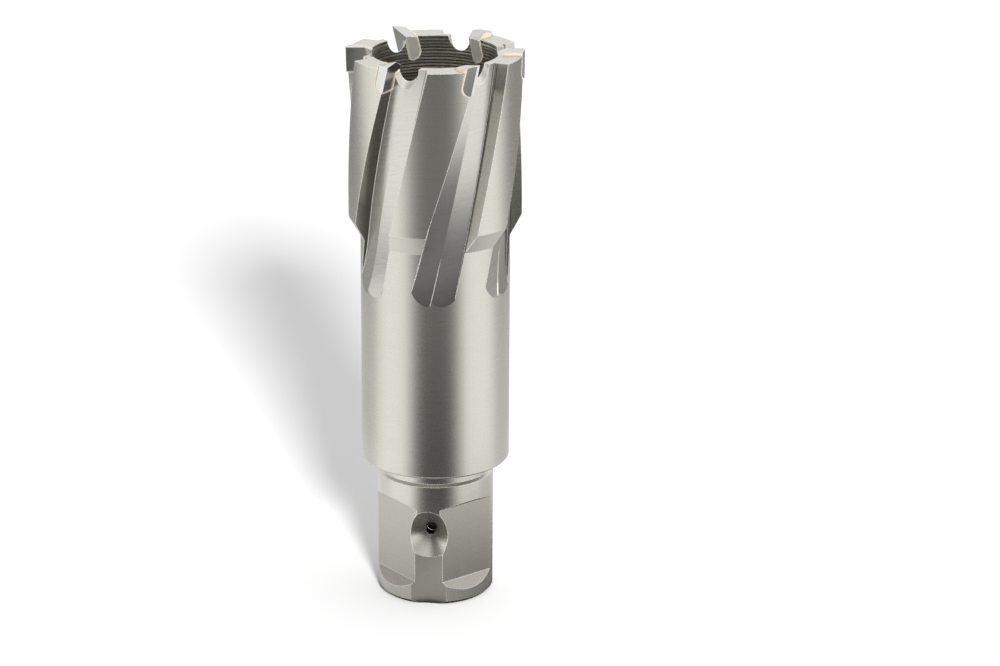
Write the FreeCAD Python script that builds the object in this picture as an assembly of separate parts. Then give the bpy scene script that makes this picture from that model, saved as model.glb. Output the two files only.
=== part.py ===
import FreeCAD, Part
import math
import os

# Carbide-tipped annular cutter: a hollow hole cutter that mills a ring and leaves a core.
# It stands on the end of its shank, with the teeth up.
# Frame: the origin is the centre of the shank's end face, +Z points to the teeth,
# and the detent dimple of the shank faces -Y. Lengths are in mm, angles in degrees.

V = FreeCAD.Vector

# Shank, with two drive flats, a detent dimple and the groove that leads to it
shank_diameter = 19.05
shank_length = 23.35
shank_chamfer = 0.55
neck_width = 2.5
neck_depth = 0.45
flat_depth = 1.585
flat_start = 3.85
flat_length = 12.9
flat_spread = 45.0
flat_ramp_angle = 45.0
flat_ledge_angle = 34.0
dimple_height = 12.0
dimple_depth = 4.5
dimple_angle = 90.0
dimple_centre_diameter = 1.7
dimple_centre_depth = 1.0
groove_depth = 0.8
groove_radius = 13.0

# The cut: the ring that the teeth mill, and how far the steel stands back from its two walls
overall_length = 92.8
cutting_diameter = 28.58
cut_width = 4.19
outer_clearance = 0.265
core_clearance = 0.25

# Body: the slim lower part, the step up to the fluted part, and the bores
tooth_rise = 1.0
step_height = 61.6
step_depth = 1.9
step_angle = 30.0
shoulder_chamfer = 0.3
core_bore_depth = 54.0
core_bore_corner = 1.2
pilot_bore_diameter = 6.45
pilot_chamfer = 0.5

# Teeth: the carbide tips and the braze that holds them
tooth_count = 6
first_tooth_angle = -53.3
tip_thickness = 1.9
tip_height = 5.0
tip_back_radius = 1.25
tip_front_radius = 0.55
tip_lean = 13.5
tip_relief = 6.5
outer_relief = 6.0
core_relief = 1.5
braze_thickness = 0.16
braze_fillet_rise = 0.7
braze_fillet_run = 0.55

# The three ways in which the cutting edges are ground, from the outer corner inwards:
# sloping in, level with a chamfered inner corner, and roof-shaped.
# Each point is a share of the cut's width and a drop below the overall length.
edge_grinds = [
    [(0.0, 0.0), (1.0, 0.85)],
    [(0.0, 0.38), (0.74, 0.38), (1.0, 0.85)],
    [(0.0, 0.4), (0.57, 0.05), (1.0, 0.9)],
]

# Flutes, milled in two passes that part at a crease and spread towards the shank
rake_lead = 283.0
crease_lead = 327.0
back_lead = 367.0
crease_angle = 10.5
flute_angle = 26.7
rake_web_thickness = 1.1
crease_web_thickness = 1.05
back_web_thickness = 1.35
back_wall_slant = 1.4
back_wall_slant_growth = 0.04
knee_depth = 1.9
rake_run_out_lift = 0.85
crease_run_out_drop = 1.2
back_run_out_drop = 0.5
wall_run_out_drop = 2.0
run_out_radius = 39.0
section_count = 20

# Gullets, cut through the web in front of each tip
gullet_radius = 2.0
gullet_offset = 1.5
gullet_depth = 2.4
gullet_slope = 45.0

# How far each cutting tool runs past the steel, and past the other pass of its flute
overcut = 3.0
pass_overlap = 0.5

shank_radius = shank_diameter / 2
pilot_radius = pilot_bore_diameter / 2
cutting_radius = cutting_diameter / 2
core_radius = cutting_radius - cut_width
body_radius = cutting_radius - outer_clearance
core_bore_radius = core_radius + core_clearance
lower_body_radius = body_radius - step_depth
knee_radius = body_radius - knee_depth
clear_radius = cutting_radius + overcut
rim_height = overall_length - tooth_rise
core_floor = rim_height - core_bore_depth
tooth_pitch = 360.0 / tooth_count


def polar(radius, angle, z):
    """A point given by its radius, its angle about Z and its height."""
    turn = math.radians(angle)
    return V(radius * math.cos(turn), radius * math.sin(turn), z)


def turned(shape, angle):
    """A copy of a shape, turned about Z."""
    copy = shape.copy()
    copy.rotate(V(0, 0, 0), V(0, 0, 1), angle)
    return copy


def line(start, end):
    return Part.LineSegment(start, end).toShape()


def rounded_corner(start, corner, end):
    """The quarter circle from start to end that rounds the given corner."""
    centre = start + end - corner
    middle = centre + (corner - centre) / math.sqrt(2)
    return Part.Arc(start, middle, end).toShape()


def prism(points, direction):
    """A straight prism: a closed polygon pushed along a direction."""
    return Part.Face(Part.makePolygon(points + points[:1])).extrude(direction)


def ring(inner, outer, bottom, top):
    """A plain ring about Z."""
    height = top - bottom
    disc = Part.makeCylinder(outer, height, V(0, 0, bottom))
    return disc.cut(Part.makeCylinder(inner, height, V(0, 0, bottom)))


def turned_blank():
    """The blank as it leaves the lathe: shank, neck, body, step, core bore and pilot bore."""
    neck_radius = shank_radius - neck_depth
    neck_start = shank_length - neck_width
    collar_start = flat_start + flat_length - flat_depth
    step_top = step_height + step_depth / math.tan(math.radians(step_angle))
    end_inner = V(pilot_radius + pilot_chamfer, 0, 0)
    end_outer = V(shank_radius - shank_chamfer, 0, 0)
    shank_bottom = V(shank_radius, 0, shank_chamfer)
    # Three faces on the shank: a ring below the flats, the length beside them and a collar above
    ring_top = V(shank_radius, 0, flat_start)
    collar_bottom = V(shank_radius, 0, collar_start)
    collar_top = V(shank_radius, 0, neck_start)
    neck_bottom = V(neck_radius, 0, neck_start + neck_depth)
    neck_top = V(neck_radius, 0, shank_length)
    shoulder_outer = V(lower_body_radius - shoulder_chamfer, 0, shank_length)
    lower_body_bottom = V(lower_body_radius, 0, shank_length + shoulder_chamfer)
    lower_body_top = V(lower_body_radius, 0, step_height)
    body_bottom = V(body_radius, 0, step_top)
    rim_outer = V(body_radius, 0, rim_height)
    rim_inner = V(core_bore_radius, 0, rim_height)
    corner_high = V(core_bore_radius, 0, core_floor + core_bore_corner)
    corner_low = V(core_bore_radius - core_bore_corner, 0, core_floor)
    pilot_top = V(pilot_radius, 0, core_floor)
    pilot_bottom = V(pilot_radius, 0, pilot_chamfer)
    profile = [
        end_inner, end_outer, shank_bottom, ring_top, collar_bottom, collar_top, neck_bottom,
        neck_top, shoulder_outer, lower_body_bottom, lower_body_top, body_bottom, rim_outer,
        rim_inner, corner_high, corner_low, pilot_top, pilot_bottom, end_inner,
    ]
    return Part.Face(Part.makePolygon(profile)).revolve(V(0, 0, 0), V(0, 0, 1), 360)


def drive_flat(side):
    """The milled flat on one side of the dimple: a level floor, a ramp below and a ledge above."""
    floor = shank_radius - flat_depth
    reach = shank_radius + overcut
    flat_end = flat_start + flat_length
    ramp_drop = (reach - floor) / math.tan(math.radians(flat_ramp_angle))
    ledge_rise = (reach - floor) * math.tan(math.radians(flat_ledge_angle))
    outline = [
        V(floor, -shank_radius, flat_start),
        V(reach, -shank_radius, flat_start - ramp_drop),
        V(reach, -shank_radius, flat_end + ledge_rise),
        V(floor, -shank_radius, flat_end),
    ]
    return turned(prism(outline, V(0, shank_diameter, 0)), -90 + side * flat_spread)


def detent_dimple():
    """The conical dimple that the holder's ball drops into, with its centre-drilled point."""
    slope = math.tan(math.radians(dimple_angle / 2))
    outward = V(0, -1, 0)
    apex = shank_radius - dimple_depth
    reach = dimple_depth + overcut
    cone = Part.makeCone(0, reach * slope, reach, V(0, -apex, dimple_height), outward)
    drill_radius = dimple_centre_diameter / 2
    drill_mouth = apex + drill_radius / slope
    drill_end = apex - dimple_centre_depth
    drill_start = V(0, -drill_end, dimple_height)
    drill = Part.makeCylinder(drill_radius, drill_mouth - drill_end, drill_start, outward)
    return cone.fuse(drill)


def lead_in_groove():
    """The shallow groove that guides the ball from the shank's end up to the dimple."""
    axis = shank_radius - groove_depth + groove_radius
    start = V(0, -axis, -overcut)
    return Part.makeCylinder(groove_radius, dimple_height + overcut, start, V(0, 0, 1))


def twist(lead, z):
    """How far a helix of the given lead has turned back between the cutting edge and height z."""
    return (overall_length - z) * 360.0 / lead


def run_out(start, z):
    """How far the floor of a flute has risen at height z, where the milling disc leaves it."""
    below = max(start - z, 0.0)
    return run_out_radius - math.sqrt(run_out_radius ** 2 - below ** 2)


def extended(start, end, length):
    """The point that lies beyond end, by the given length, on the line from start."""
    step = end - start
    return end + step * (length / step.Length)


def rake_pass_section(z):
    """The first milling pass at height z: the rake wall and the floor beside it."""
    rake = first_tooth_angle - twist(rake_lead, z)
    crease = first_tooth_angle + crease_angle - twist(crease_lead, z)
    at_rake = core_bore_radius + rake_web_thickness + run_out(step_height + rake_run_out_lift, z)
    at_crease = core_bore_radius + crease_web_thickness + run_out(step_height - crease_run_out_drop, z)
    return [
        polar(clear_radius, rake, z),
        polar(at_rake, rake, z),
        polar(at_crease, crease, z),
        polar(clear_radius, crease, z),
    ]


def back_pass_section(z):
    """The second milling pass at height z: the floor behind the crease and the back wall."""
    crease = first_tooth_angle + crease_angle - twist(crease_lead, z)
    land_edge = first_tooth_angle + flute_angle - twist(back_lead, z)
    knee = land_edge - back_wall_slant - back_wall_slant_growth * (rim_height - z)
    crease_rise = run_out(step_height - back_run_out_drop, z)
    rise = run_out(step_height - wall_run_out_drop, z)
    at_crease = polar(core_bore_radius + crease_web_thickness + crease_rise, crease, z)
    at_wall = polar(core_bore_radius + back_web_thickness + rise, knee, z)
    at_knee = polar(knee_radius + rise, knee, z)
    at_land = polar(body_radius + rise, land_edge, z)
    return [
        polar(clear_radius, crease, z),
        extended(at_wall, at_crease, pass_overlap),
        at_wall,
        at_knee,
        extended(at_knee, at_land, clear_radius - body_radius),
    ]


def milled_pass(section):
    """One pass of a flute: its section swept down the body until the floor has run out."""
    top = overall_length + overcut
    rise_to_clear = lower_body_radius - core_bore_radius
    run_out_length = math.sqrt(run_out_radius ** 2 - (run_out_radius - rise_to_clear) ** 2)
    bottom = step_height - crease_run_out_drop - run_out_length
    wires = []
    for i in range(section_count):
        points = section(bottom + (top - bottom) * i / (section_count - 1))
        wires.append(Part.makePolygon(points + points[:1]))
    return Part.makeLoft(wires, True, False)


def tooth_point(radius, ahead, z):
    """A point of the first tooth: out along its cutting edge, and ahead of the edge."""
    outward = polar(1.0, first_tooth_angle, 0)
    onward = polar(1.0, first_tooth_angle + 90, 0)
    return outward * radius + onward * ahead + V(0, 0, z)


def tooth_axes():
    """The outward, forward and downward directions of the first tooth's leaning plate."""
    lean = math.radians(tip_lean)
    outward = tooth_point(1.0, 0, 0)
    forward = tooth_point(0, math.cos(lean), -math.sin(lean))
    down = tooth_point(0, -math.sin(lean), -math.cos(lean))
    return outward, forward, down


def plate(grow, inner, outer, top):
    """The leaning U-shaped plate of a tip, grown by a margin and reaching between two radii."""
    outward, forward, down = tooth_axes()
    edge = tooth_point(inner, 0, overall_length)

    def at(ahead, below):
        return edge + forward * ahead + down * below

    front = grow
    back = -tip_thickness - grow
    bottom = tip_height / math.cos(math.radians(tip_lean)) + grow
    back_radius = tip_back_radius + grow
    front_radius = tip_front_radius + grow
    outline = [
        line(at(front, -top), at(back, -top)),
        line(at(back, -top), at(back, bottom - back_radius)),
        rounded_corner(at(back, bottom - back_radius), at(back, bottom), at(back + back_radius, bottom)),
        line(at(back + back_radius, bottom), at(front - front_radius, bottom)),
        rounded_corner(at(front - front_radius, bottom), at(front, bottom), at(front, bottom - front_radius)),
        line(at(front, bottom - front_radius), at(front, -top)),
    ]
    return Part.Face(Part.Wire(outline)).extrude(outward * (outer - inner))


def ground_away(grind):
    """What the grinding wheel takes off the top of a tip: its edge, falling away behind."""
    fall = math.tan(math.radians(tip_relief))
    length = 2 * overcut + tip_thickness
    edge = [(cutting_radius - share * cut_width, overall_length - drop) for share, drop in grind]
    outer_end = (clear_radius, edge[0][1])
    inner_end = (core_radius - overcut, edge[-1][1])
    outline = [
        tooth_point(radius, overcut, z + overcut * fall)
        for radius, z in [outer_end] + edge + [inner_end]
    ]
    top = overall_length + 2 * overcut
    outline.append(tooth_point(inner_end[0], overcut, top))
    outline.append(tooth_point(outer_end[0], overcut, top))
    return prism(outline, tooth_point(0, -length, -length * fall))


def relieved_round(radius, relief):
    """A round bar that leans with a tip, passes through its edge and falls away behind it."""
    down = tooth_axes()[2]
    edge = polar(radius, first_tooth_angle, overall_length)
    centre = edge - polar(radius, first_tooth_angle - relief, 0)
    return Part.makeCylinder(radius, tip_height + 3 * overcut, centre - down * overcut, down)


def carbide_tip(grind):
    """One carbide tip, ground to size: proud of the body outside, inside and on top."""
    blank = plate(0.0, core_radius - overcut, clear_radius, overcut)
    blank = blank.common(Part.makeCylinder(cutting_radius, overall_length + overcut))
    sized = blank.common(relieved_round(cutting_radius, outer_relief))
    sized = sized.cut(relieved_round(core_radius, -core_relief))
    return sized.cut(ground_away(grind))


def tip_pocket():
    """The pocket that is milled for a tip, larger all round by the seam of braze."""
    return plate(braze_thickness, core_radius - overcut, clear_radius, overcut)


def gullet():
    """The round-bottomed gullet in front of a tip, falling outwards to throw the chips out."""
    slope = math.radians(gullet_slope)
    onward = tooth_point(0, 1.0, 0)
    fall = tooth_point(math.cos(slope), 0, -math.sin(slope))
    lift = tooth_point(math.sin(slope), 0, math.cos(slope))
    floor = tooth_point(core_bore_radius, gullet_offset, rim_height - gullet_depth)
    start = floor + lift * gullet_radius - fall * overcut
    length = overcut + (clear_radius - core_bore_radius) / math.cos(slope)
    height = lift * (gullet_depth + 2 * overcut)
    left = start + onward * gullet_radius
    right = start - onward * gullet_radius
    bottom = Part.makeCylinder(gullet_radius, length, start, fall)
    walls = prism([left, right, right + height, left + height], fall * length)
    return bottom.fuse(walls).common(space_before_tip())


def space_before_tip():
    """A block in front of a tip's rake face, so that a gullet stops at that face."""
    outward, forward, down = tooth_axes()
    low = tooth_point(0, 0, overall_length) + down * (2 * tip_height + 2 * overcut)
    high = tooth_point(0, 0, overall_length) - down * overcut
    width = forward * (gullet_offset + 2 * gullet_radius + overcut)
    return prism([low, low + width, high + width, high], outward * clear_radius)


def braze(milled_body, tip, grind):
    """The braze of a tip: what the tip leaves of its pocket, and a fillet on the land behind."""
    seam = milled_body.common(tip_pocket())
    lean = math.radians(tip_lean)
    back_at_rim = -tip_thickness / math.cos(lean) - tooth_rise * math.tan(lean)
    back_at_top = back_at_rim + braze_fillet_rise * math.tan(lean)
    inside_tip = tip_thickness / 2
    outline = [
        tooth_point(0, back_at_rim + inside_tip, rim_height),
        tooth_point(0, back_at_top + inside_tip, rim_height + braze_fillet_rise),
        tooth_point(0, back_at_top, rim_height + braze_fillet_rise),
        tooth_point(0, back_at_rim - braze_fillet_run, rim_height),
    ]
    fillet = prism(outline, tooth_point(clear_radius, 0, 0))
    fillet = fillet.common(ring(core_bore_radius, body_radius, rim_height, overall_length))
    return seam.fuse(fillet).cut(tip).cut(ground_away(grind))


def cut_milled_body():
    """The steel body before its tips: the blank with flats, dimple, groove, flutes and gullets."""
    tools = [drive_flat(-1), drive_flat(1), detent_dimple(), lead_in_groove()]
    passes = [milled_pass(rake_pass_section), milled_pass(back_pass_section), gullet()]
    for k in range(tooth_count):
        tools += [turned(one, k * tooth_pitch) for one in passes]
    body = turned_blank()
    for tool in tools:
        body = body.cut(tool)
    return body


def export(shape, name):
    shape.exportStep(os.path.join("parts", name + ".step"))


def main():
    os.makedirs("parts", exist_ok=True)
    milled_body = cut_milled_body()
    body = milled_body
    for k in range(tooth_count):
        body = body.cut(turned(tip_pocket(), k * tooth_pitch))
    export(body, "cutter_body")
    for k in range(tooth_count):
        grind = edge_grinds[k % len(edge_grinds)]
        tip = carbide_tip(grind)
        export(turned(tip, k * tooth_pitch), "carbide_tip_%d" % (k + 1))
        export(turned(braze(milled_body, tip, grind), k * tooth_pitch), "braze_seam_%d" % (k + 1))


main()
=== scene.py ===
import bpy
import bmesh
import functools
import math
from mathutils import Matrix, Vector


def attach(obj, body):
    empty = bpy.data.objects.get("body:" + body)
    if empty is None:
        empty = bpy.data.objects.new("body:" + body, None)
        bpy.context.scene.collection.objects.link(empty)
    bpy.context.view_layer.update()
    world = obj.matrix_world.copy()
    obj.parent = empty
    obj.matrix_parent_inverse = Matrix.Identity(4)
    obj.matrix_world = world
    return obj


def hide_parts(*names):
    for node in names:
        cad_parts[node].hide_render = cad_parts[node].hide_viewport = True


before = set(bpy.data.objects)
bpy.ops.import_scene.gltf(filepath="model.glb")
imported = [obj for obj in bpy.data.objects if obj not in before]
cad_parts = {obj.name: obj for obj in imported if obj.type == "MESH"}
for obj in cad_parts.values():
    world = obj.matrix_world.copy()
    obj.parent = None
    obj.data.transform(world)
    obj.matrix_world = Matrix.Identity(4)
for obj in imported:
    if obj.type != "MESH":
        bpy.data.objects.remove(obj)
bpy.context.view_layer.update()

# Carbide-tipped annular cutter, standing on its shank with the teeth up.
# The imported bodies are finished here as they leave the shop: turned, milled, ground and brazed.
# Lengths are in metres and angles in radians, unless a comment or a name says otherwise.

MM = 0.001

# Sizes in mm and angles in degrees that the finishes follow, as in the part's source
shank_radius = 9.525
shank_length = 23.35
shank_chamfer = 0.55
neck_width = 2.5
neck_depth = 0.45
dimple_height = 12.0
dimple_angle = 90.0
pilot_radius = 3.225
pilot_chamfer = 0.5
overall_length = 92.8
cutting_radius = 14.29
cut_width = 4.19
outer_clearance = 0.265
core_clearance = 0.25
tooth_rise = 1.0
step_height = 61.6
step_depth = 1.9
step_angle = 30.0
shoulder_chamfer = 0.3
core_bore_depth = 54.0
core_bore_corner = 1.2

body_radius = cutting_radius - outer_clearance
lower_body_radius = body_radius - step_depth
core_bore_radius = cutting_radius - cut_width + core_clearance
neck_radius = shank_radius - neck_depth
neck_start = shank_length - neck_width
step_top = step_height + step_depth / math.tan(math.radians(step_angle))
rim_height = overall_length - tooth_rise
core_floor = rim_height - core_bore_depth
core_floor_corner = core_floor + core_bore_corner

# The turned profile, from the shank's end up the outside and down the bores: radius and height
turned_profile = [
    (pilot_radius + pilot_chamfer, 0.0),
    (shank_radius - shank_chamfer, 0.0),
    (shank_radius, shank_chamfer),
    (shank_radius, neck_start),
    (neck_radius, neck_start + neck_depth),
    (neck_radius, shank_length),
    (lower_body_radius - shoulder_chamfer, shank_length),
    (lower_body_radius, shank_length + shoulder_chamfer),
    (lower_body_radius, step_height),
    (body_radius, step_top),
    (body_radius, rim_height),
    (core_bore_radius, rim_height),
    (core_bore_radius, core_floor_corner),
    (core_bore_radius - core_bore_corner, core_floor),
    (pilot_radius, core_floor),
    (pilot_radius, pilot_chamfer),
    (pilot_radius + pilot_chamfer, 0.0),
]

# The teeth and the flutes between them, with the first flute's angles at the tips
tooth_count = 6
tooth_spacing = 360 / tooth_count
first_tooth_angle = -53.3
rake_lead = 283.0
crease_lead = 327.0
back_lead = 367.0
crease_angle = 10.5
flute_angle = 26.7
rake_web_thickness = 1.1
crease_web_thickness = 1.05
back_web_thickness = 1.35
back_wall_slant = 1.4
back_wall_slant_growth = 0.04
knee_depth = 1.9
rake_run_out_lift = 0.85
crease_run_out_drop = 1.2
back_run_out_drop = 0.5
wall_run_out_drop = 2.0
run_out_radius = 39.0
overcut = 3.0
gullet_radius = 2.0
gullet_offset = 1.5
gullet_depth = 2.4
gullet_slope = 45.0

knee_radius = body_radius - knee_depth
clear_radius = cutting_radius + overcut
rake_run_out = step_height + rake_run_out_lift
crease_run_out = step_height - crease_run_out_drop
back_run_out = step_height - back_run_out_drop
wall_run_out = step_height - wall_run_out_drop

# The tips: the lean of a tooth, and the round margin and the turned relief of its outer face
tip_lean = 13.5
tip_margin = 0.4
tip_relief_turn = 15.0

# Where one kind of surface ends, in mm: heights below every flute and every gullet, the heights
# below which a flute's ridge and back walls are painted near white as a highlight, how far the
# dimple's cone reaches, the radius within which its drilled point lies, and the radii beyond and
# within which a tip's outer and inner faces lie
flute_low = 44.0
gullet_low = rim_height - 8.0
ridge_highlight_height = 55.5
wall_highlight_height = 51.0
dimple_reach = 4.7
dimple_point_radius = 5.86
tip_outside = 12.0
tip_inside = 10.6

# How near, in mm, a face's corners lie to the surface that the face stands for
bore_slack = 0.004
profile_slack = 0.006
end_slack = 0.01
gullet_slack = 0.03
core_slack = 0.05
wall_slack = 0.08
wall_end_slack = 0.25

# The step in height, in mm, over which a flute's lie is measured
wall_step = 0.05

# How far a part of a normal may stray from that of an upright face or of the dimple's cone
normal_slack = 0.1

# The least cosine between a face's normal and that of the surface or the side that it belongs to
profile_likeness = 0.975
bore_likeness = 0.97
flute_likeness = 0.93
core_side_likeness = 0.8
rake_side_likeness = 0.9

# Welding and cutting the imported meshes, and the least turn of an edge that stays sharp
weld_distance = 0.001 * MM
cut_slack = 1e-8
body_crease = math.radians(25)
tip_crease = math.radians(8)

# Rounded edges with a painted highlight: their radius, the cosines between the rounded and the flat normal
# where the highlight starts and is full, its tone and the tone's share, and how much less the metal mirrors
# there
edge_radius = 0.13 * MM
edge_start, edge_full = 0.995, 0.90
edge_highlight_tone = (0.90, 0.89, 0.85)
edge_highlight_share = 0.8
edge_highlight_dulling = 0.75

# The painted shade in the corner of a flute: its dark tone, and the mm from that corner over which it fades
corner_shade_tone = (0.10, 0.095, 0.08)
corner_start, corner_end = 0.02, 0.20

# The part of a pattern's range that runs from a finish's dark tone to its light one, and how finely
# a pattern of streaks is broken up
grain_low, grain_high = 0.3, 0.7
streak_detail = 3.0

# The rings of the core bore and the beads of braze
ring_pitch = 0.52 * MM
ring_depth = 0.042 * MM
shallowest_ring = 0.35
ring_seed = 4
bead_levels = 2
braze_swell = 0.045 * MM
braze_lump = 0.03 * MM
lumps_per_metre = 900
lump_middle = 0.4
seam_spacing = 0.1


class Graph:
    """Adds nodes to a tree and joins them. A value is a number, a tuple or another node's output."""

    def __init__(self, tree):
        self.tree = tree

    def node(self, kind, inputs=None, **settings):
        made = self.tree.nodes.new(kind)
        for name, value in settings.items():
            setattr(made, name, value)
        for key, value in (inputs or {}).items():
            if isinstance(value, bpy.types.NodeSocket):
                self.tree.links.new(value, made.inputs[key])
            else:
                made.inputs[key].default_value = value
        return made

    def math(self, operation, *values):
        return self.node("ShaderNodeMath", dict(enumerate(values)), operation=operation).outputs[0]

    def vector(self, operation, *values):
        return self.node("ShaderNodeVectorMath", dict(enumerate(values)), operation=operation)

    def split(self, vector):
        return self.node("ShaderNodeSeparateXYZ", {0: vector}).outputs

    def join(self, x, y, z):
        return self.node("ShaderNodeCombineXYZ", {0: x, 1: y, 2: z}).outputs[0]

    def ramp(self, value, low, high, to_low=0.0, to_high=1.0, smooth=True):
        """Maps value from low..high to to_low..to_high, held at both ends."""
        kind = "SMOOTHSTEP" if smooth else "LINEAR"
        inputs = {"Value": value, "From Min": low, "From Max": high, "To Min": to_low, "To Max": to_high}
        return self.node("ShaderNodeMapRange", inputs, interpolation_type=kind).outputs[0]

    def noise(self, vector, scale, detail=2.0, roughness=0.5):
        inputs = {"Vector": vector, "Scale": scale, "Detail": detail, "Roughness": roughness}
        return self.node("ShaderNodeTexNoise", inputs).outputs["Fac"]

    def colour(self, factor, first, second):
        """Mixes two colours, each a tuple or another node's output."""
        made = self.node("ShaderNodeMix", data_type="RGBA")
        sockets = [s for s in made.inputs if s.type == "RGBA" or s.name == "Factor" and s.type == "VALUE"]
        for socket, value in zip(sockets, (factor, first, second)):
            if isinstance(value, bpy.types.NodeSocket):
                self.tree.links.new(value, socket)
            elif isinstance(value, tuple):
                socket.default_value = (*value, 1.0)
            else:
                socket.default_value = value
        return [o for o in made.outputs if o.type == "RGBA"][0]


def cos(degrees):
    return math.cos(math.radians(degrees))


def dimmed(g, where, depth):
    """What is left of 1 where it is dimmed by a depth."""
    return g.math("SUBTRACT", 1.0, g.math("MULTIPLY", where, depth))


def object_point(g):
    return g.node("ShaderNodeTexCoord").outputs["Object"]


def streaks(g, point, across, along):
    """A pattern of streaks: how many a metre holds across X and Y, and along Z."""
    stretched = g.vector("MULTIPLY", point, (across, across, along)).outputs[0]
    return g.noise(stretched, 1.0, streak_detail)


def overlaid(g, lines, speckle, share):
    """Two patterns in one, the lines with a share of it."""
    return g.math("ADD", g.math("MULTIPLY", lines, share), g.math("MULTIPLY", speckle, 1 - share))


def rounded_edge(g, radius):
    """The rounded normal of an edge, and how near a point is to one: 0 on a face, 1 on the edge."""
    rounded = g.node("ShaderNodeBevel", {"Radius": radius}, samples=6).outputs[0]
    straight = g.node("ShaderNodeNewGeometry").outputs["Normal"]
    facing = g.vector("DOT_PRODUCT", rounded, straight).outputs["Value"]
    return rounded, g.ramp(facing, edge_start, edge_full)


def metal(name, dark, light, roughness, grain_of, bump, metallic=1.0, corner_shade=False):
    """A bare metal. grain_of gives the pattern of its finish, which sets tone, roughness and bump.
    The corner flag paints shade into a flute's corner, by the distances that the mesh holds as from_corner."""
    material = bpy.data.materials.new(name)
    material.use_nodes = True
    g = Graph(material.node_tree)
    g.tree.nodes.clear()
    point = object_point(g)
    grain = grain_of(g, point)
    rounded, edge_mask = rounded_edge(g, edge_radius)
    tone = g.colour(g.ramp(grain, grain_low, grain_high, smooth=False), dark, light)
    # Painted shade: the metal is darkened near a flute's corner, where shade falls
    if corner_shade:
        line = g.node("ShaderNodeAttribute", attribute_name="from_corner").outputs["Fac"]
        tone = g.colour(g.ramp(line, corner_start, corner_end), corner_shade_tone, tone)
    # Painted highlight: the edges are lightened towards near white and mirror less, so that the key light
    # picks them out
    highlighted_tone = g.colour(g.math("MULTIPLY", edge_mask, edge_highlight_share), tone, edge_highlight_tone)
    rough = g.ramp(grain, grain_low, grain_high, roughness[0], roughness[1], smooth=False)
    normal = g.node("ShaderNodeBump", {"Height": grain, "Normal": rounded, "Distance": bump}).outputs[0]
    bare = g.math("MULTIPLY", dimmed(g, edge_mask, edge_highlight_dulling), metallic)
    shader = g.node("ShaderNodeBsdfPrincipled", {
        "Base Color": highlighted_tone, "Metallic": bare, "Roughness": rough, "Normal": normal,
    })
    g.node("ShaderNodeOutputMaterial", {0: shader.outputs[0]})
    return material


def ground_grain(g, point):
    """Fine rings left by turning and grinding, under the fine speckle of the satin finish."""
    rings = streaks(g, point, across=250, along=9000)
    speckle = g.noise(point, scale=5500, detail=1.0)
    return overlaid(g, rings, speckle, share=0.4)


def along_flute(g, point):
    """Untwists the helix: the distance along a flute, and the angle across it as a length."""
    x, y, z = g.split(point)
    lead = crease_lead * MM
    angle = g.math("ARCTAN2", y, x)
    turn = g.math("MULTIPLY", g.math("SUBTRACT", overall_length * MM, z), 2 * math.pi / lead)
    crease = math.radians(first_tooth_angle + crease_angle)
    local = g.math("SUBTRACT", g.math("ADD", angle, turn), crease)
    spacing = math.radians(tooth_spacing)
    across = g.math("WRAP", local, spacing / 2, -spacing / 2)
    middle_radius = (core_bore_radius + body_radius) / 2 * MM
    across = g.math("MULTIPLY", across, middle_radius)
    slope = 2 * math.pi * middle_radius / lead
    return g.math("SUBTRACT", z, g.math("MULTIPLY", across, slope)), across


def milled_grain(g, point):
    """Fine cutter marks square to the flute, under a fine speckle."""
    along, across = along_flute(g, point)
    marks = streaks(g, g.join(across, 0.0, along), across=300, along=3000)
    speckle = g.noise(point, scale=5500, detail=1.0)
    return overlaid(g, marks, speckle, share=0.55)


def planed_grain(g, point):
    """Level cutter marks on the flats and the groove of the shank, under a coarser speckle."""
    marks = streaks(g, point, across=500, along=6000)
    speckle = g.noise(point, scale=4200, roughness=0.6)
    return overlaid(g, marks, speckle, share=0.25)


def bored_grain(g, point):
    """Fine tearing between the rings that the boring tool leaves."""
    rings = streaks(g, point, across=160, along=7000)
    speckle = g.noise(point, scale=5000)
    return overlaid(g, rings, speckle, share=0.7)


def wheel_grain(g, point):
    """Fine scratches of the diamond wheel."""
    scratches = streaks(g, point, across=9000, along=900)
    speckle = g.noise(point, scale=7000)
    return overlaid(g, scratches, speckle, share=0.5)


def solder_grain(g, point):
    """The frozen, slightly pitted skin of the braze."""
    return g.noise(point, scale=5200, detail=4.0, roughness=0.6)


ground_steel = metal(
    "ground_steel", dark=(0.60, 0.59, 0.535), light=(0.71, 0.70, 0.635),
    roughness=(0.24, 0.32), grain_of=ground_grain, bump=0.008 * MM,
)
milled_steel = metal(
    "milled_steel", dark=(0.575, 0.567, 0.525), light=(0.675, 0.667, 0.62),
    roughness=(0.19, 0.27), grain_of=milled_grain, bump=0.004 * MM, corner_shade=True,
)
bored_steel = metal(
    "bored_steel", dark=(0.46, 0.44, 0.40), light=(0.92, 0.90, 0.83),
    roughness=(0.24, 0.34), grain_of=bored_grain, bump=0.02 * MM,
)
planed_steel = metal(
    "planed_steel", dark=(0.495, 0.48, 0.425), light=(0.62, 0.605, 0.54),
    roughness=(0.34, 0.44), grain_of=planed_grain, bump=0.01 * MM,
)
# The drilled point of the dimple, painted near black for the shade deep in its hole
hole_shade_steel = metal(
    "hole_shade_steel", dark=(0.05, 0.05, 0.045), light=(0.16, 0.155, 0.14),
    roughness=(0.25, 0.35), grain_of=bored_grain, bump=0.01 * MM,
)
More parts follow.
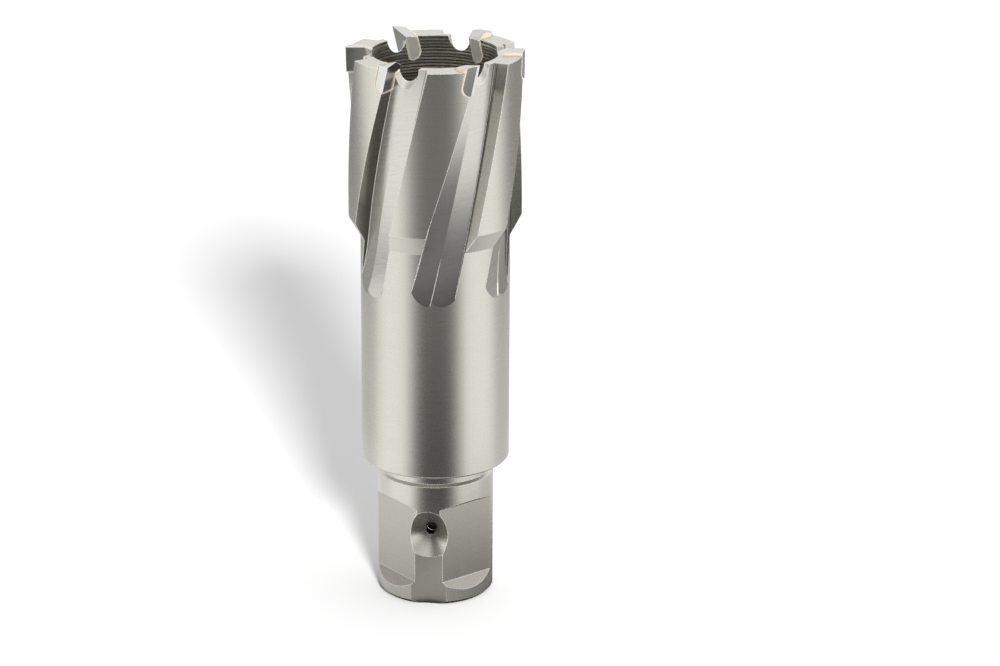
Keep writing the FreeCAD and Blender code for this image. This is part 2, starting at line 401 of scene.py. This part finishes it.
# The ridge and back walls low in a flute, painted near white and barely metallic as a highlight where they
# catch the light
highlight_steel = metal(
    "highlight_steel", dark=(0.90, 0.89, 0.86), light=(0.97, 0.96, 0.94),
    roughness=(0.3, 0.4), grain_of=ground_grain, bump=0.01 * MM, metallic=0.2,
)
gullet_steel = metal(
    "gullet_steel", dark=(0.64, 0.63, 0.585), light=(0.84, 0.83, 0.78),
    roughness=(0.36, 0.46), grain_of=bored_grain, bump=0.015 * MM, metallic=0.75,
)
ground_carbide = metal(
    "ground_carbide", dark=(0.66, 0.655, 0.625), light=(0.76, 0.755, 0.72),
    roughness=(0.18, 0.25), grain_of=wheel_grain, bump=0.003 * MM, metallic=0.95,
)
core_carbide = metal(
    "core_ground_carbide", dark=(0.33, 0.325, 0.29), light=(0.53, 0.52, 0.47),
    roughness=(0.34, 0.44), grain_of=wheel_grain, bump=0.008 * MM, metallic=0.55,
)
rake_carbide = metal(
    "rake_ground_carbide", dark=(0.44, 0.44, 0.42), light=(0.54, 0.54, 0.51),
    roughness=(0.20, 0.28), grain_of=wheel_grain, bump=0.004 * MM, metallic=0.97,
)
tan_braze = metal(
    "tan_braze", dark=(0.72, 0.63, 0.47), light=(0.92, 0.85, 0.70),
    roughness=(0.34, 0.5), grain_of=solder_grain, bump=0.02 * MM, metallic=0.6,
)

# The finishes of the body and of a tip, in the order of their material slots; some hold painted shade or a
# painted highlight
body_finishes = [
    ground_steel, milled_steel, bored_steel, planed_steel, hole_shade_steel, highlight_steel, gullet_steel,
]
ground, milled, bored, planed, hole_shade, highlight_finish, rounded_out = range(len(body_finishes))
tip_finishes = [ground_carbide, core_carbide, rake_carbide]
core_side, rake_side = 1, 2


def tree_with(name, *inputs):
    """An empty geometry tree with named inputs after its mesh, and the identifiers of those inputs."""
    tree = bpy.data.node_groups.new(name, "GeometryNodeTree")
    tree.interface.new_socket("Geometry", in_out="INPUT", socket_type="NodeSocketGeometry")
    tree.interface.new_socket("Geometry", in_out="OUTPUT", socket_type="NodeSocketGeometry")
    added = [tree.interface.new_socket(label, in_out="INPUT", socket_type=kind) for label, kind in inputs]
    g = Graph(tree)
    return g, g.node("NodeGroupInput").outputs, [socket.identifier for socket in added]


def creased(g, mesh, angle):
    """Shades a mesh smooth, but for the edges that turn more than an angle."""
    smooth = g.node("GeometryNodeSetShadeSmooth", {"Geometry": mesh}, domain="FACE").outputs[0]
    turn = g.node("GeometryNodeInputMeshEdgeAngle").outputs["Unsigned Angle"]
    sharp = g.math("GREATER_THAN", turn, angle)
    inputs = {"Geometry": smooth, "Selection": sharp, "Shade Smooth": False}
    return g.node("GeometryNodeSetShadeSmooth", inputs, domain="EDGE").outputs[0]


def painted(g, mesh, material):
    """The end of every tree: real meshes only, in their material."""
    real = g.node("GeometryNodeRealizeInstances", {0: mesh}).outputs[0]
    done = g.node("GeometryNodeSetMaterial", {"Geometry": real, "Material": material}).outputs[0]
    g.node("NodeGroupOutput", {0: done})


def turning_rings_tree():
    """Cuts the rings of the boring tool: a zigzag of a set pitch, deeper or shallower from turn to turn."""
    g, given, names = tree_with(
        "turning_rings", ("Pitch", "NodeSocketFloat"), ("Depth", "NodeSocketFloat"),
        ("Bore radius", "NodeSocketFloat"), ("Floor height", "NodeSocketFloat"),
        ("Crease angle", "NodeSocketFloat"), ("Seed", "NodeSocketInt"), ("Finish", "NodeSocketMaterial"),
    )
    mesh, pitch, depth, bore, floor_height, crease, seed, finish = given[:8]
    place = g.node("GeometryNodeInputPosition").outputs[0]
    x, y, z = g.split(place)
    level = g.join(x, y, 0.0)
    radius = g.vector("LENGTH", level).outputs["Value"]
    on_bore = g.math("COMPARE", radius, bore, bore_slack * MM)
    above = g.math("GREATER_THAN", z, floor_height)
    half = g.math("MULTIPLY", pitch, 0.5)
    rise = g.math("DIVIDE", g.math("PINGPONG", z, half), half)
    turn = g.math("FLOOR", g.math("DIVIDE", z, pitch))
    whim = g.node("FunctionNodeRandomValue", data_type="FLOAT")
    g.tree.links.new(turn, whim.inputs["ID"])
    g.tree.links.new(seed, whim.inputs["Seed"])
    whim.inputs[2].default_value, whim.inputs[3].default_value = shallowest_ring, 1.0
    push = g.math("MULTIPLY", g.math("MULTIPLY", rise, depth), whim.outputs[1])
    outward = g.vector("NORMALIZE", level).outputs[0]
    step = g.node("ShaderNodeVectorMath", {0: outward, 3: push}, operation="SCALE").outputs[0]
    inputs = {"Geometry": mesh, "Selection": g.math("MULTIPLY", on_bore, above), "Offset": step}
    ringed = g.node("GeometryNodeSetPosition", inputs).outputs[0]
    painted(g, creased(g, ringed, crease), finish)
    return g.tree, names


def frozen_bead_tree():
    """Swells a seam a little proud of the steel, with the soft lumps of braze that froze there."""
    g, given, names = tree_with(
        "frozen_bead", ("Weld distance", "NodeSocketFloat"), ("Swell", "NodeSocketFloat"),
        ("Lump", "NodeSocketFloat"), ("Seed", "NodeSocketInt"), ("Finish", "NodeSocketMaterial"),
    )
    mesh, weld, swell, lump, seed, finish = given[:6]
    welded = g.node("GeometryNodeMergeByDistance", {"Geometry": mesh, "Distance": weld}).outputs[0]
    fine = g.node("GeometryNodeSubdivideMesh", {"Mesh": welded, "Level": bead_levels}).outputs[0]
    place = g.node("GeometryNodeInputPosition").outputs[0]
    moved = g.vector("ADD", place, g.join(g.math("MULTIPLY", seed, seam_spacing), 0.0, 0.0)).outputs[0]
    wave = g.math("SUBTRACT", g.noise(moved, lumps_per_metre), lump_middle)
    rise = g.math("ADD", swell, g.math("MULTIPLY", wave, lump))
    normal = g.node("GeometryNodeInputNormal").outputs[0]
    step = g.node("ShaderNodeVectorMath", {0: normal, 3: rise}, operation="SCALE").outputs[0]
    swollen = g.node("GeometryNodeSetPosition", {"Geometry": fine, "Offset": step}).outputs[0]
    smooth = g.node("GeometryNodeSetShadeSmooth", {"Geometry": swollen}, domain="FACE").outputs[0]
    painted(g, smooth, finish)
    return g.tree, names


def ground_faces_tree():
    """Welds a packed tip and keeps its ground edges sharp."""
    g, given, names = tree_with(
        "ground_faces", ("Weld distance", "NodeSocketFloat"), ("Crease angle", "NodeSocketFloat"),
        ("Finish", "NodeSocketMaterial"),
    )
    mesh, weld, crease, finish = given[:4]
    welded = g.node("GeometryNodeMergeByDistance", {"Geometry": mesh, "Distance": weld}).outputs[0]
    painted(g, creased(g, welded, crease), finish)
    return g.tree, names


def finished_piece(name, mesh, tree, names, values):
    """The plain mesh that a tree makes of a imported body's copy, as a piece at the origin."""
    rough = bpy.data.objects.new(name + "_rough", mesh)
    bpy.context.scene.collection.objects.link(rough)
    modifier = rough.modifiers.new("finish", "NODES")
    modifier.node_group = tree
    for key, value in zip(names, values):
        modifier[key] = value
    bpy.context.view_layer.update()
    evaluated = rough.evaluated_get(bpy.context.evaluated_depsgraph_get())
    done = bpy.data.meshes.new_from_object(evaluated)
    done.name = name
    done.materials.clear()
    done.materials.append(values[-1])
    for face in done.polygons:
        face.material_index = 0
    bpy.data.objects.remove(rough)
    bpy.data.meshes.remove(mesh)
    piece = bpy.data.objects.new(name, done)
    bpy.context.scene.collection.objects.link(piece)
    return piece


def parted_bore(node):
    """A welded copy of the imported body, with the bore's faces parted at every half pitch of a ring."""
    steel = bmesh.new()
    steel.from_mesh(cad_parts[node].data)
    bmesh.ops.remove_doubles(steel, verts=steel.verts, dist=weld_distance)
    wall = []
    for face in steel.faces:
        radii = [math.hypot(v.co.x, v.co.y) / MM for v in face.verts]
        if max(abs(r - core_bore_radius) for r in radii) < bore_slack and abs(face.normal.z) < normal_slack:
            wall.append(face)
    half = ring_pitch / 2
    number = math.floor(rim_height * MM / half)
    while number * half > core_floor_corner * MM:
        edges = {edge for face in wall for edge in face.edges}
        corners = {corner for face in wall for corner in face.verts}
        cut = bmesh.ops.bisect_plane(
            steel, geom=wall + list(edges) + list(corners), dist=cut_slack,
            plane_co=(0, 0, number * half), plane_no=(0, 0, 1),
        )
        faces = {item for item in cut["geom"] if isinstance(item, bmesh.types.BMFace)}
        wall = [face for face in faces if min(v.co.z for v in face.verts) < (number - 1) * half]
        number -= 1
    mesh = bpy.data.meshes.new(node + "_parted")
    steel.to_mesh(mesh)
    steel.free()
    return mesh


def bar(radius, angle, z):
    """The point at a radius, an angle in degrees and a height."""
    turn = math.radians(angle)
    return Vector((radius * math.cos(turn), radius * math.sin(turn), z))


def tooth_turn(point):
    """How far the nearest tooth to a point is turned from the first: a whole number of tooth spacings."""
    angle = math.degrees(math.atan2(point.y, point.x)) - first_tooth_angle
    return math.radians(round(angle / tooth_spacing) * tooth_spacing)


def relieved_tip(node):
    """A welded copy of a packed tip, its outer face ground as a round margin and a flat relief."""
    tip = bmesh.new()
    tip.from_mesh(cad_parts[node].data)
    bmesh.ops.remove_doubles(tip, verts=tip.verts, dist=weld_distance)
    turn = tooth_turn(sum((v.co for v in tip.verts), Vector()))
    bmesh.ops.transform(tip, matrix=Matrix.Rotation(-turn, 4, "Z"), verts=tip.verts)
    lean, relief = math.radians(tip_lean), math.radians(tip_relief_turn)
    ahead = bar(1.0, first_tooth_angle + 90, 0)
    forward = ahead * math.cos(lean) - Vector((0, 0, math.sin(lean)))
    edge = bar(cutting_radius, first_tooth_angle, overall_length) * MM
    margin = edge - forward * tip_margin * MM
    cutting = cutting_radius * MM
    outer = [face for face in tip.faces if min(v.co.xy.length for v in face.verts) > tip_outside * MM]
    edges = {side for face in outer for side in face.edges}
    corners = {corner for face in outer for corner in face.verts}
    bmesh.ops.bisect_plane(
        tip, geom=outer + list(edges) + list(corners), dist=cut_slack,
        plane_co=margin, plane_no=forward,
    )
    for corner in tip.verts:
        reach = corner.co.xy.length
        if reach < tip_outside * MM:
            continue
        start = ((corner.co.z - edge.z) * math.sin(lean) - tip_margin * MM) / math.cos(lean)
        behind = max(0.0, math.asin(start / cutting) - math.asin(corner.co.dot(ahead) / reach))
        ground_reach = cutting / (math.cos(behind) + math.sin(behind) * math.tan(relief))
        corner.co.xy = corner.co.xy * (ground_reach / reach)
    bmesh.ops.transform(tip, matrix=Matrix.Rotation(turn, 4, "Z"), verts=tip.verts)
    mesh = bpy.data.meshes.new(node + "_relieved")
    tip.to_mesh(mesh)
    tip.free()
    return mesh


def turned_normals(places, flat):
    """The round normals at the corners of a face that lies on the turned profile, or None."""
    spots = [(math.hypot(p.x, p.y) / MM, p.z / MM) for p in places]
    for (r1, z1), (r2, z2) in zip(turned_profile, turned_profile[1:]):
        run, rise = r2 - r1, z2 - z1
        length = math.hypot(run, rise)
        if max(abs((r - r1) * rise - (z - z1) * run) for r, z in spots) > profile_slack * length:
            continue
        ways = [((r - r1) * run + (z - z1) * rise) / length for r, z in spots]
        if min(ways) <= -end_slack or max(ways) >= length + end_slack:
            continue
        normals = []
        for p, (r, z) in zip(places, spots):
            out = Vector((p.x, p.y, 0)) / (r * MM)
            normals.append(out * (rise / length) + Vector((0, 0, -run / length)))
        if min(n.dot(flat) for n in normals) > profile_likeness:
            return normals
    return None


def bored_normals(places, flat):
    """The normals at the corners of a face of a turning ring in the core bore, or None."""
    spots = [(math.hypot(p.x, p.y) / MM, p.z / MM) for p in places]
    deepest = core_bore_radius + ring_depth / MM + bore_slack
    if any(not core_bore_radius - bore_slack < r < deepest for r, z in spots):
        return None
    if min(z for r, z in spots) < core_floor_corner - end_slack:
        return None
    level = math.sqrt(max(0.0, 1 - flat.z ** 2))
    normals = [Vector((-p.x, -p.y, 0)).normalized() * level + Vector((0, 0, flat.z)) for p in places]
    return normals if min(n.dot(flat) for n in normals) > bore_likeness else None


def run_out(start, z):
    """How far a wall has come out of the steel at height z, where its cutter has left from start down."""
    below = max(start - z, 0.0)
    return run_out_radius - math.sqrt(run_out_radius ** 2 - below ** 2)


def flute_walls(z):
    """The walls of the first flute at height z, and the ridge between its passes: end points in mm."""
    drop = overall_length - z
    rake = first_tooth_angle - drop * 360 / rake_lead
    crease = first_tooth_angle + crease_angle - drop * 360 / crease_lead
    land = first_tooth_angle + flute_angle - drop * 360 / back_lead
    knee = land - back_wall_slant - back_wall_slant_growth * (rim_height - z)
    rise = run_out(wall_run_out, z)
    rake_foot = bar(core_bore_radius + rake_web_thickness + run_out(rake_run_out, z), rake, z)
    crease_foot = core_bore_radius + crease_web_thickness
    front_crease = bar(crease_foot + run_out(crease_run_out, z), crease, z)
    back_crease = bar(crease_foot + run_out(back_run_out, z), crease, z)
    wall_foot = bar(core_bore_radius + back_web_thickness + rise, knee, z)
    wall_knee = bar(knee_radius + rise, knee, z)
    land_edge = bar(body_radius + rise, land, z)
    return {
        "rake wall": (bar(clear_radius, rake, z), rake_foot),
        "front floor": (rake_foot, front_crease),
        "back floor": (back_crease, wall_foot),
        "lower back wall": (wall_foot, wall_knee),
        "upper back wall": (wall_knee, land_edge),
        "ridge": (bar(clear_radius, crease, z), front_crease),
    }


@functools.lru_cache(maxsize=None)
def walls_near(z):
    """The walls of the first flute just below, at and just above height z."""
    return [flute_walls(z + step) for step in (-wall_step, 0.0, wall_step)]


def wall_fit(wall, spots, facing):
    """The normals at a face's corners on a wall, their ways along it and their worst distance, or None."""
    normals, along, worst = [], [], 0.0
    for spot in spots:
        below, here, above = walls_near(round(spot.z, 4))
        start, end = here[wall]
        across = end - start
        length = across.length
        share = (spot - start).dot(across) / length ** 2
        off = (spot - start - across * share).length
        if off > wall_slack or not -wall_end_slack / length < share < 1 + wall_end_slack / length:
            return None
        worst = max(worst, off)
        low = below[wall][0].lerp(below[wall][1], share)
        high = above[wall][0].lerp(above[wall][1], share)
        normal = across.cross(high - low).normalized()
        normals.append(-normal if normal.dot(facing) < 0 else normal)
        along.append(length * (1 - share) if wall == "back floor" else length * share)
    if min(n.dot(facing) for n in normals) > flute_likeness:
        return normals, along, worst
    return None


def milled_normals(places, flat):
    """The wall of a flute that a face lies on, the normals at its corners and their ways along the wall."""
    centre = sum(places, Vector()) / len(places)
    height = centre.z / MM
    if not flute_low < height < rim_height + end_slack:
        return None, None, None
    crease = first_tooth_angle + crease_angle - (overall_length - height) * 360 / crease_lead
    turned = math.degrees(math.atan2(centre.y, centre.x)) - crease
    turn = math.radians(round(turned / tooth_spacing) * tooth_spacing)
    to_first = Matrix.Rotation(-turn, 3, "Z")
    back_again = Matrix.Rotation(turn, 3, "Z")
    spots = [to_first @ p / MM for p in places]
    best, best_off = (None, None, None), wall_slack
    for wall in flute_walls(height):
        fit = wall_fit(wall, spots, to_first @ flat)
        if fit and fit[2] < best_off:
            normals, along, best_off = fit
            best = wall, [back_again @ n for n in normals], along
    return best


def gullet_normals(places, flat):
    """The normals at the corners of a face on the round bottom or the sides of a gullet, or None."""
    turn = tooth_turn(sum(places, Vector()))
    slope = math.radians(gullet_slope)
    outward, onward = bar(1.0, first_tooth_angle, 0), bar(1.0, first_tooth_angle + 90, 0)
    fall = outward * math.cos(slope) - Vector((0, 0, math.sin(slope)))
    lift = outward * math.sin(slope) + Vector((0, 0, math.cos(slope)))
    lowest = outward * core_bore_radius + onward * gullet_offset + Vector((0, 0, rim_height - gullet_depth))
    middle = lowest + lift * gullet_radius
    normals = []
    for place in places:
        spot = Matrix.Rotation(-turn, 3, "Z") @ place / MM - middle
        across = spot - fall * spot.dot(fall)
        if across.dot(lift) > 0:
            across = onward * across.dot(onward)
        if abs(across.length - gullet_radius) > gullet_slack:
            return None
        normals.append(Matrix.Rotation(turn, 3, "Z") @ -across.normalized())
    return normals if min(n.dot(flat) for n in normals) > flute_likeness else None


def finish_of(face, places):
    """The finish of a face of the body, by how it was made. With it, the normals at its corners and how
    far along a flute's wall they lie, or None for a flat face and for one without painted corner shade."""
    flat, height = face.normal, face.center.z / MM
    radius = face.center.xy.length / MM
    turned = turned_normals(places, flat)
    in_core = radius < core_bore_radius + core_slack and height > core_floor_corner
    rings = bored_normals(places, flat) if turned is None or in_core else None
    if rings:
        return bored, rings, None
    if turned:
        in_pilot_bore = radius < pilot_radius + pilot_chamfer
        in_bore = in_pilot_bore or radius < core_bore_radius and height > core_floor - core_slack
        return (bored if in_bore else ground), turned, None
    wall, found, along = milled_normals(places, flat)
    if found:
        on_back_wall = wall in ("lower back wall", "upper back wall")
        # Below these heights the ridge and the back walls take the painted highlight
        lit_ridge = wall == "ridge" and height < ridge_highlight_height
        lit_wall = on_back_wall and height < wall_highlight_height
        # The back floor and the back walls take the painted shade of the flute's corner
        corner_shaded = on_back_wall or wall == "back floor"
        return (highlight_finish if lit_ridge or lit_wall else milled), found, (along if corner_shaded else None)
    found = gullet_normals(places, flat) if height > gullet_low else None
    if found:
        return rounded_out, found, None
    if height > flute_low:
        return milled, None, None
    # The drilled point takes the near-black painted shade of a deep hole
    if radius < dimple_point_radius and height < shank_length:
        return hole_shade, None, None
    return (ground if on_dimple(face) else planed), None, None


def on_dimple(face):
    """Whether a face lies on the countersunk cone of the dimple."""
    beside, above = face.center.x / MM, face.center.z / MM - dimple_height
    on_cone = abs(-face.normal.y - cos(dimple_angle / 2)) < normal_slack
    return face.center.y < 0 and on_cone and math.hypot(beside, above) < dimple_reach


def finish_body(mesh):
    """Gives every face of the body its finish, and the true normals of the surface that it stands for."""
    normals = []
    # How far each corner of a face lies from the flute's corner, for its painted shade
    corner_shade = mesh.attributes.new("from_corner", "FLOAT", "CORNER").data
    for face in mesh.polygons:
        places = [mesh.vertices[corner].co for corner in face.vertices]
        face.material_index, found, along = finish_of(face, places)
        normals += found or [Vector((0, 0, 0))] * len(places)
        for number, loop in enumerate(face.loop_indices):
            corner_shade[loop].value = along[number] if along else 1.0
    mesh.normals_split_custom_set(normals)


def finish_tip(mesh):
    """Gives the inner faces that look at the core or down, and the rake faces, their own finish."""
    for face in mesh.polygons:
        reach = face.center.xy.length
        if reach < tip_inside * MM and face.normal.dot(face.center) < -core_side_likeness * reach:
            face.material_index = core_side
        elif face.normal.xy.dot(face.center.xy.orthogonal()) > rake_side_likeness * reach:
            face.material_index = rake_side


def stands_for(piece, node):
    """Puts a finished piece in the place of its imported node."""
    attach(piece, "root")
    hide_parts(node)


def steel_body(tree, names):
    values = [
        ring_pitch, ring_depth, core_bore_radius * MM, core_floor_corner * MM, body_crease, ring_seed,
        ground_steel,
    ]
    piece = finished_piece("steel_body", parted_bore("cutter_body"), tree, names, values)
    for material in body_finishes[1:]:
        piece.data.materials.append(material)
    finish_body(piece.data)
    stands_for(piece, "cutter_body")


def carbide_tip(number, tree, names):
    node = "carbide_tip_%d" % number
    values = [weld_distance, tip_crease, ground_carbide]
    piece = finished_piece("ground_tip_%d" % number, relieved_tip(node), tree, names, values)
    for material in tip_finishes[1:]:
        piece.data.materials.append(material)
    finish_tip(piece.data)
    stands_for(piece, node)


def braze_seam(number, tree, names):
    node = "braze_seam_%d" % number
    values = [weld_distance, braze_swell, braze_lump, number, tan_braze]
    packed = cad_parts[node].data.copy()
    piece = finished_piece("frozen_braze_%d" % number, packed, tree, names, values)
    stands_for(piece, node)


steel_body(*turning_rings_tree())
ground_faces = ground_faces_tree()
frozen_bead = frozen_bead_tree()
for number in range(1, tooth_count + 1):
    carbide_tip(number, *ground_faces)
    braze_seam(number, *frozen_bead)

# Studio: a pale floor, a tent of soft light that is dim behind the camera, and a low key light

# Their sizes, tones and strengths
floor_size = 6.0
floor_paint = (0.86, 0.86, 0.86, 1.0)
white = (1.0, 1.0, 1.0, 1.0)
tent_strength = 1.15
key_strength = 3.9
key_spread = math.radians(9)
key_azimuth = math.radians(-71)
key_elevation = math.radians(26.6)

# The camera: its place before it turns round the cutter, how it looks down, aside and askew, its lens,
# and the level directions from the cutter to it and to its right
camera_distance = 528.09 * MM
camera_height = 229.79 * MM
camera_turn = math.radians(7.5)
camera_pitch, camera_yaw, camera_roll = 0.3377, 0.0200, 0.0057
camera_lens = 123.1
sensor_width = 36.0
camera_side = Vector((math.sin(camera_turn), -math.cos(camera_turn), 0))
right_side = Vector((math.cos(camera_turn), math.sin(camera_turn), 0))


def sides(g, place):
    """How much a place or a direction lies towards the camera and to its right: 1 there, -1 opposite."""
    x, y = g.split(place)[:2]
    level = g.vector("NORMALIZE", g.join(x, y, 0.0)).outputs[0]
    facing = g.vector("DOT_PRODUCT", level, tuple(camera_side)).outputs["Value"]
    to_right = g.vector("DOT_PRODUCT", level, tuple(right_side)).outputs["Value"]
    return facing, to_right


def near_glow(g, away, to_right):
    """The glow of the floor round the shank, with painted shade: black where they touch, grey beside it and
    white further out. At the right the grey is darker and reaches further."""
    contact_end, grey_start = 10.8 * MM, 8 * MM
    grey, darker_at_right = 0.375, 0.165
    grey_reach, further_at_right = 71 * MM, 16 * MM
    contact = g.ramp(away, shank_radius * MM, contact_end)
    low = g.math("SUBTRACT", grey, g.math("MULTIPLY", to_right, darker_at_right))
    reach = g.math("ADD", grey_reach, g.math("MULTIPLY", to_right, further_at_right))
    rise = g.ramp(away, grey_start, reach)
    near = g.math("ADD", low, g.math("MULTIPLY", rise, g.math("SUBTRACT", 1.0, low)))
    return g.math("MULTIPLY", contact, near)


def front_glow(g, away, facing):
    """The floor towards the camera: dark, for the dark bands down the middle of the round faces."""
    in_front = g.ramp(facing, cos(50), cos(13))
    clear_of_shank = g.ramp(away, 26 * MM, 42 * MM)
    near_depth = g.ramp(away, 50 * MM, 250 * MM, 0.92, 0.76)
    far_depth = g.ramp(away, 305 * MM, 430 * MM, 0.0, 0.08)
    return dimmed(g, g.math("MULTIPLY", in_front, clear_of_shank), g.math("ADD", near_depth, far_depth))


def back_glow(g, away, facing, to_right):
    """The floor behind the cutter: dimmer further out, but less so at the far left."""
    at_left = g.ramp(to_right, -0.5, -0.95)
    far_shift = g.ramp(away, 275 * MM, 330 * MM, 0.0, 0.3)
    turned = g.math("ADD", facing, g.math("MULTIPLY", at_left, far_shift))
    behind = g.ramp(turned, cos(80), cos(116))
    near_depth = g.ramp(away, 35 * MM, 90 * MM, 0.08, 0.42)
    far_depth = g.ramp(away, 120 * MM, 250 * MM, 0.0, 0.28)
    return dimmed(g, behind, g.math("ADD", near_depth, far_depth))


def sheet_glow(g, point):
    """How bright the metal sees the floor."""
    x, y = g.split(point)[:2]
    away = g.vector("LENGTH", g.join(x, y, 0.0)).outputs["Value"]
    facing, to_right = sides(g, point)
    front_and_back = g.math("MULTIPLY", front_glow(g, away, facing), back_glow(g, away, facing, to_right))
    glow = g.math("MULTIPLY", near_glow(g, away, to_right), front_and_back)
    return g.math("MULTIPLY", glow, tent_strength)


def floor():
    """A pale sheet. The metal mirrors its glow, and everything else sees its paint."""
    mesh = bpy.data.meshes.new("floor")
    low, high = -floor_size, floor_size
    mesh.from_pydata([(low, low, 0), (high, low, 0), (high, high, 0), (low, high, 0)], [], [(0, 1, 2, 3)])
    piece = bpy.data.objects.new("floor", mesh)
    bpy.context.scene.collection.objects.link(piece)
    material = bpy.data.materials.new("pale_floor")
    material.use_nodes = True
    g = Graph(material.node_tree)
    g.tree.nodes.clear()
    mirrored = g.node("ShaderNodeLightPath").outputs["Is Glossy Ray"]
    paint = g.node("ShaderNodeBsdfDiffuse", {"Color": floor_paint}).outputs[0]
    strength = sheet_glow(g, object_point(g))
    glow = g.node("ShaderNodeEmission", {"Color": white, "Strength": strength}).outputs[0]
    mixed = g.node("ShaderNodeMixShader", {0: mirrored, 1: paint, 2: glow}).outputs[0]
    g.node("ShaderNodeOutputMaterial", {0: mixed})
    mesh.materials.append(material)


def tent():
    """The walls that the metal mirrors: bright at both sides, dim round the camera, soft behind."""
    world = bpy.data.worlds.new("tent")
    bpy.context.scene.world = world
    world.use_nodes = True
    g = Graph(world.node_tree)
    g.tree.nodes.clear()
    direction = g.node("ShaderNodeTexCoord").outputs["Generated"]
    facing, to_right = sides(g, direction)
    z = g.split(direction)[2]
    upper_left_dimming, roof_tone = 0.5, 0.9
    front = g.ramp(facing, cos(70), cos(38), 1.0, 0.10)
    back = g.ramp(facing, cos(85), cos(150), 1.0, 0.85)
    upper_left = g.math("MULTIPLY", g.ramp(to_right, -0.3, -0.8), g.ramp(z, 0.3, 0.55))
    wall = g.math("MULTIPLY", g.math("MULTIPLY", front, back), dimmed(g, upper_left, upper_left_dimming))
    overhead = g.ramp(z, 0.4, 0.75)
    left_of_roof = g.ramp(to_right, -0.3, -0.8, 0.26, 0.68)
    roof_rim = g.math("MULTIPLY", left_of_roof, g.ramp(z, 0.97, 0.85))
    roof = g.math("MULTIPLY", overhead, g.math("SUBTRACT", roof_tone, roof_rim))
    light = g.math("ADD", g.math("MULTIPLY", wall, g.math("SUBTRACT", 1.0, overhead)), roof)
    strength = g.math("MULTIPLY", light, tent_strength)
    seen = g.node("ShaderNodeLightPath").outputs["Is Camera Ray"]
    shown = g.node("ShaderNodeBackground", {"Color": white, "Strength": 1.0}).outputs[0]
    lit = g.node("ShaderNodeBackground", {"Color": white, "Strength": strength}).outputs[0]
    mixed = g.node("ShaderNodeMixShader", {0: seen, 1: lit, 2: shown}).outputs[0]
    g.node("ShaderNodeOutputWorld", {0: mixed})


def key_light():
    """A low sun over the camera's right shoulder. It throws the soft shadow and isn't mirrored."""
    light = bpy.data.lights.new("key", "SUN")
    light.energy = key_strength
    light.angle = key_spread
    lamp = bpy.data.objects.new("key", light)
    bpy.context.scene.collection.objects.link(lamp)
    towards = Vector((
        math.cos(key_azimuth) * math.cos(key_elevation),
        math.sin(key_azimuth) * math.cos(key_elevation),
        math.sin(key_elevation),
    ))
    lamp.rotation_euler = towards.to_track_quat("Z", "Y").to_euler()
    lamp.visible_glossy = False


def camera():
    """Stands where the photo was taken from, with its yaw, pitch and roll."""
    lens = bpy.data.cameras.new("camera")
    lens.lens = camera_lens
    lens.sensor_width = sensor_width
    lens.clip_start, lens.clip_end = 0.01, 50.0
    eye = bpy.data.objects.new("camera", lens)
    bpy.context.scene.collection.objects.link(eye)
    ahead = Vector((
        math.sin(camera_yaw) * math.cos(camera_pitch),
        math.cos(camera_yaw) * math.cos(camera_pitch),
        -math.sin(camera_pitch),
    ))
    right = Vector((math.cos(camera_yaw), -math.sin(camera_yaw), 0))
    up = right.cross(ahead)
    rolled_right = math.cos(camera_roll) * right + math.sin(camera_roll) * up
    rolled_up = -math.sin(camera_roll) * right + math.cos(camera_roll) * up
    stand = Matrix((
        (rolled_right.x, rolled_up.x, -ahead.x, 0),
        (rolled_right.y, rolled_up.y, -ahead.y, -camera_distance),
        (rolled_right.z, rolled_up.z, -ahead.z, camera_height),
        (0, 0, 0, 1),
    ))
    eye.matrix_world = Matrix.Rotation(camera_turn, 4, "Z") @ stand
    bpy.context.scene.camera = eye


floor()
tent()
key_light()
camera()
bpy.context.scene.view_settings.view_transform = "Standard"
